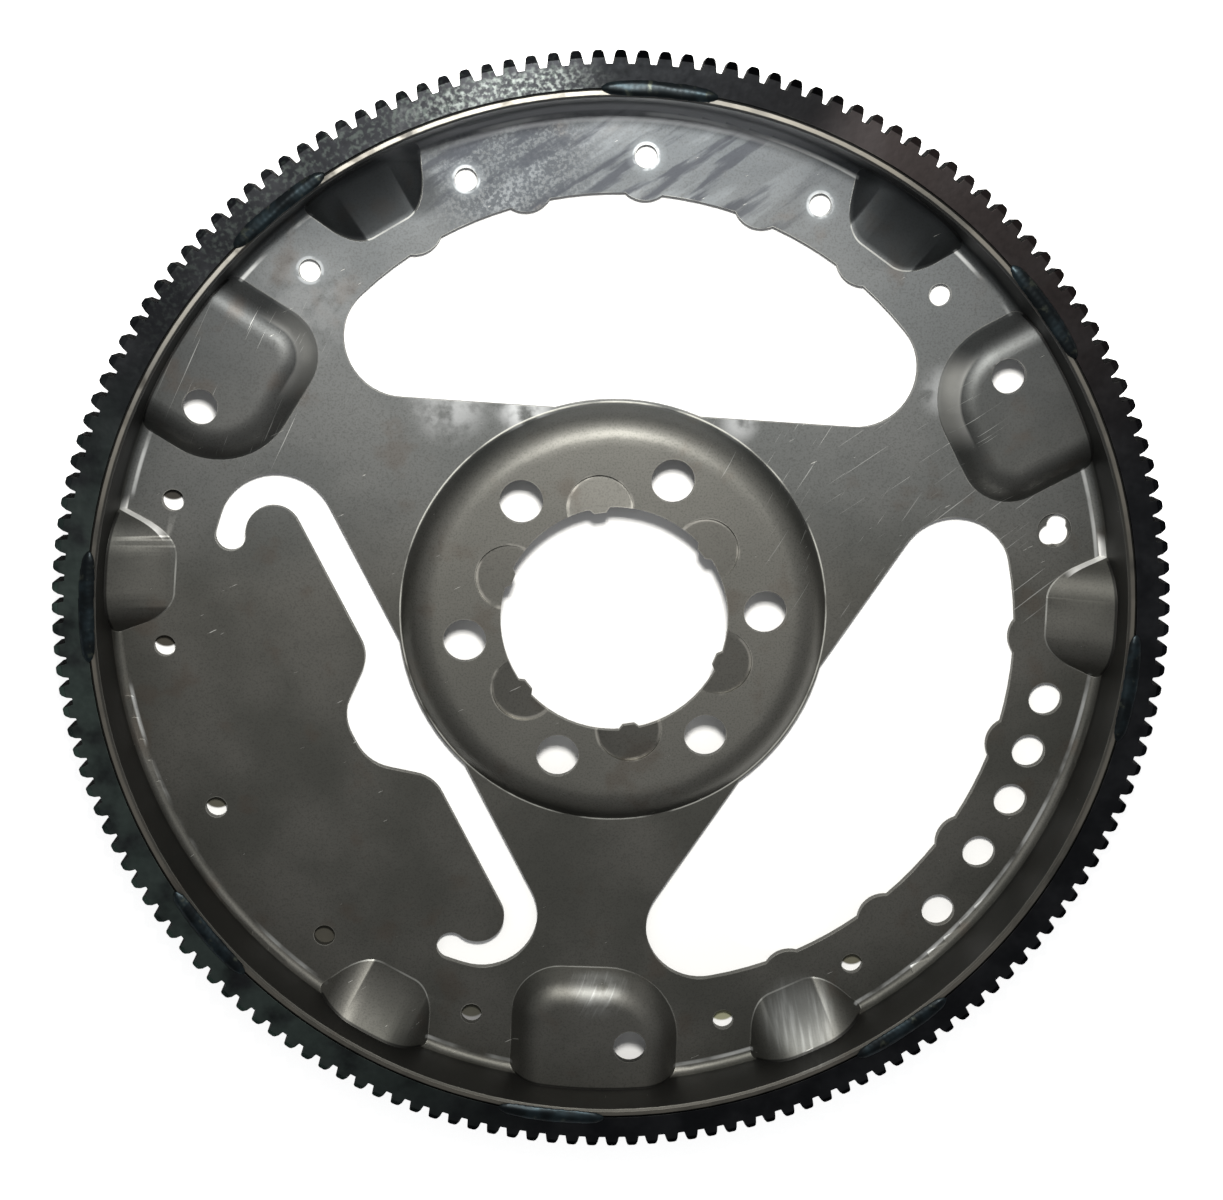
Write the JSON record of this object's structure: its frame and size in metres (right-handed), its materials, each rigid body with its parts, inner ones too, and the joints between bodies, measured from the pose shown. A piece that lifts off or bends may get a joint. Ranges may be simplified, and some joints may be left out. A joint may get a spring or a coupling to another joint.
{
  "type": "flexplate",
  "caption": "Pressed-steel flexplate: a dished disc with a raised crank hub, converter pads and wide windows, ringed by a welded-on starter gear.",
  "frame": {"origin": "on the axis of the plate, in the plane of the web's underside, on which the plate lies", "axes": "+Z along the axis towards the raised face of the hub and the weld side of the ring gear, +X to the right in the reference picture"},
  "size_m": [0.35, 0.35, 0.0282],
  "materials": {
    "disc_steel": "rolled steel with mill scale, oiled and scratched",
    "gear_steel": "heat-treated, black oxide",
    "weld_steel": "weld metal with heat tint"
  },
  "bodies": {
    "root": {"disc": "disc_steel", "ring_gear": "gear_steel", "weld_beads": "weld_steel"}
  },
  "joints": []
}
